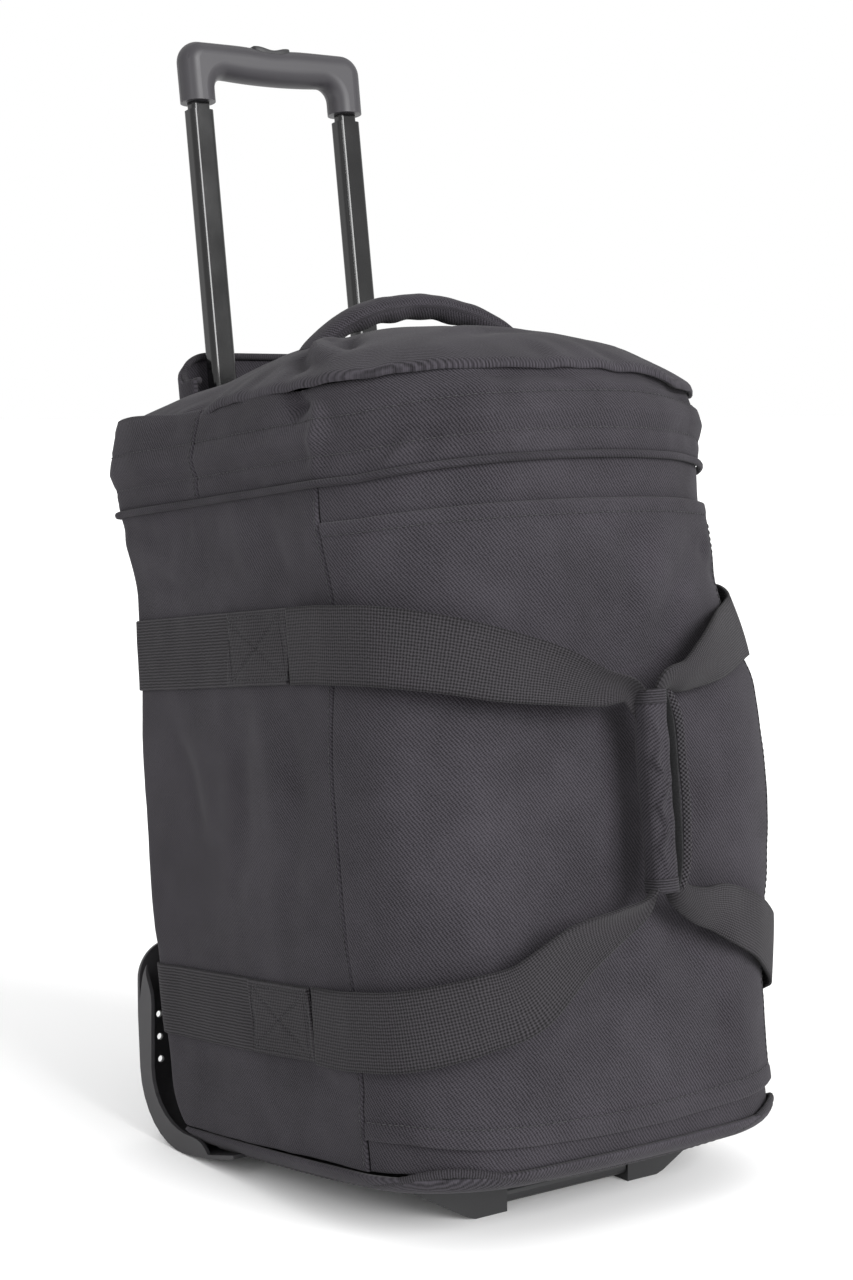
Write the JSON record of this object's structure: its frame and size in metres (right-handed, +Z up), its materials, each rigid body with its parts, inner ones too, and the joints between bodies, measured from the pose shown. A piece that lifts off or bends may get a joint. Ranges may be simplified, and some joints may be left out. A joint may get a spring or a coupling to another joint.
{
  "type": "rolling duffel bag",
  "caption": "Soft wheeled holdall standing on end, with a pull-out trolley handle, webbing carry loops and a zipped front panel.",
  "frame": {"origin": "centre of the bag's footprint box, on the floor it stands on", "axes": "+Z up, -Y the front with the carry grips, +Y the back with the trolley, +X to the right seen from the front"},
  "size_m": [0.3478, 0.489, 0.8015],
  "materials": {
    "fabric": "matt charcoal twill",
    "webbing": "ribbed nylon webbing",
    "trim": "grosgrain tape and piping",
    "tray_plastic": "fine moulded texture",
    "dark_plastic": "satin moulded",
    "tube_paint": "gloss black anodised tube",
    "steel": "zinc plated",
    "rubber": "matt",
    "board": "plain sheet"
  },
  "bodies": {
    "bag": {"wheel_tray": "tray_plastic", "top_panel": "fabric", "top_gusset": "fabric", "back_panel": "fabric", "zip_chain": "dark_plastic", "trolley_bezel": "dark_plastic", "bottom_panel": "fabric", "top_piping": "trim", "side_panel_right": "fabric", "side_panel_left": "fabric", "bottom_binding": "trim", "axle_left": "steel", "axle_right": "steel", "housing_tube_left": "tube_paint", "housing_tube_right": "tube_paint", "top_handle": "fabric", "trolley_sleeve": "fabric", "front_fascia_lower": "fabric", "trolley_bracket": "dark_plastic", "front_fascia_upper": "fabric", "foot_left": "dark_plastic", "foot_right": "dark_plastic", "strap_lower_left": "webbing", "strap_lower_right": "webbing", "strap_upper_left": "webbing", "strap_upper_right": "webbing", "foot_bar": "dark_plastic", "foot_screw_left": "steel", "foot_screw_right": "steel", "back_board": "board", "base_board": "board"},
    "front_panel": {"front_panel": "fabric"},
    "handle_left": {"handle_strap_left": "webbing", "handle_wrap": "fabric"},
    "handle_right": {"handle_strap_right": "webbing"},
    "trolley_middle": {"middle_tube_left": "tube_paint", "middle_tube_right": "tube_paint", "middle_glide_left": "dark_plastic", "middle_glide_right": "dark_plastic"},
    "trolley_grip": {"inner_tube_left": "tube_paint", "inner_tube_right": "tube_paint", "inner_glide_left": "dark_plastic", "inner_glide_right": "dark_plastic", "grip_front": "dark_plastic", "grip_rear": "dark_plastic"},
    "release_button": {"grip_button": "dark_plastic", "release_rod_left": "steel", "release_rod_right": "steel", "button_spring": "steel"},
    "wheel_left": {"wheel_hub_left": "dark_plastic", "wheel_tyre_left": "rubber"},
    "wheel_right": {"wheel_hub_right": "dark_plastic", "wheel_tyre_right": "rubber"},
    "zip_slider_upper": {"zip_slider_upper": "steel"},
    "zip_slider_lower": {"zip_slider_lower": "steel"},
    "zip_puller_upper": {"zip_puller_upper": "steel"},
    "zip_puller_lower": {"zip_puller_lower": "steel"}
  },
  "joints": [
    {"name": "front_panel_hinge", "type": "hinge", "parent": "bag", "child": "front_panel", "pos_m": [-0.17401, -0.11333, 0.26067], "axis": [0, -0.1149, -0.9934], "range_deg": [0, 35]},
    {"name": "handle_left_swing", "type": "hinge", "parent": "bag", "child": "handle_left", "pos_m": [-0.17141, -0.07107, 0.25175], "axis": [0, -0.1149, -0.9934], "range_deg": [0, 125]},
    {"name": "handle_right_swing", "type": "hinge", "parent": "bag", "child": "handle_right", "pos_m": [0.16219, -0.07107, 0.25175], "axis": [0, 0.1149, 0.9934], "range_deg": [0, 125]},
    {"name": "trolley_lower_slide", "type": "slide", "parent": "bag", "child": "trolley_middle", "axis": [0, 0.1526, 0.9883], "range_m": [-0.23, 0]},
    {"name": "trolley_upper_slide", "type": "slide", "parent": "trolley_middle", "child": "trolley_grip", "axis": [0, 0.1526, 0.9883], "range_m": [0, 0.235]},
    {"name": "release_button_press", "type": "slide", "parent": "trolley_grip", "child": "release_button", "axis": [0, -0.1526, -0.9883], "range_m": [0, 0.004], "stiffness_N_per_m": 700, "springref_m": -0.004, "deforming": ["button_spring"]},
    {"name": "wheel_left_spin", "type": "hinge", "parent": "bag", "child": "wheel_left", "pos_m": [-0.12561, 0.11466, 0.02993], "axis": [1, 0, 0], "continuous": true},
    {"name": "wheel_right_spin", "type": "hinge", "parent": "bag", "child": "wheel_right", "pos_m": [0.11639, 0.11466, 0.02993], "axis": [1, 0, 0], "continuous": true},
    {"name": "zip_upper_slide", "type": "slide", "parent": "bag", "child": "zip_slider_upper", "axis": [0, 0.1149, 0.9934], "range_m": [0, 0.07]},
    {"name": "zip_lower_slide", "type": "slide", "parent": "bag", "child": "zip_slider_lower", "axis": [0, -0.1149, -0.9934], "range_m": [0, 0.045]},
    {"name": "puller_upper_swing", "type": "hinge", "parent": "zip_slider_upper", "child": "zip_puller_upper", "pos_m": [0.17308, -0.11614, 0.26502], "axis": [-0.0523, -0.992, 0.1148], "range_deg": [0, 150]},
    {"name": "puller_lower_swing", "type": "hinge", "parent": "zip_slider_lower", "child": "zip_puller_lower", "pos_m": [0.17308, -0.11913, 0.23919], "axis": [-0.0523, -0.992, 0.1148], "range_deg": [0, 150]}
  ],
  "couplings": [
    {"joint": "handle_left_swing", "follows": "front_panel_hinge", "ratio": 3.55},
    {"joint": "handle_right_swing", "follows": "front_panel_hinge", "ratio": 3.55}
  ]
}
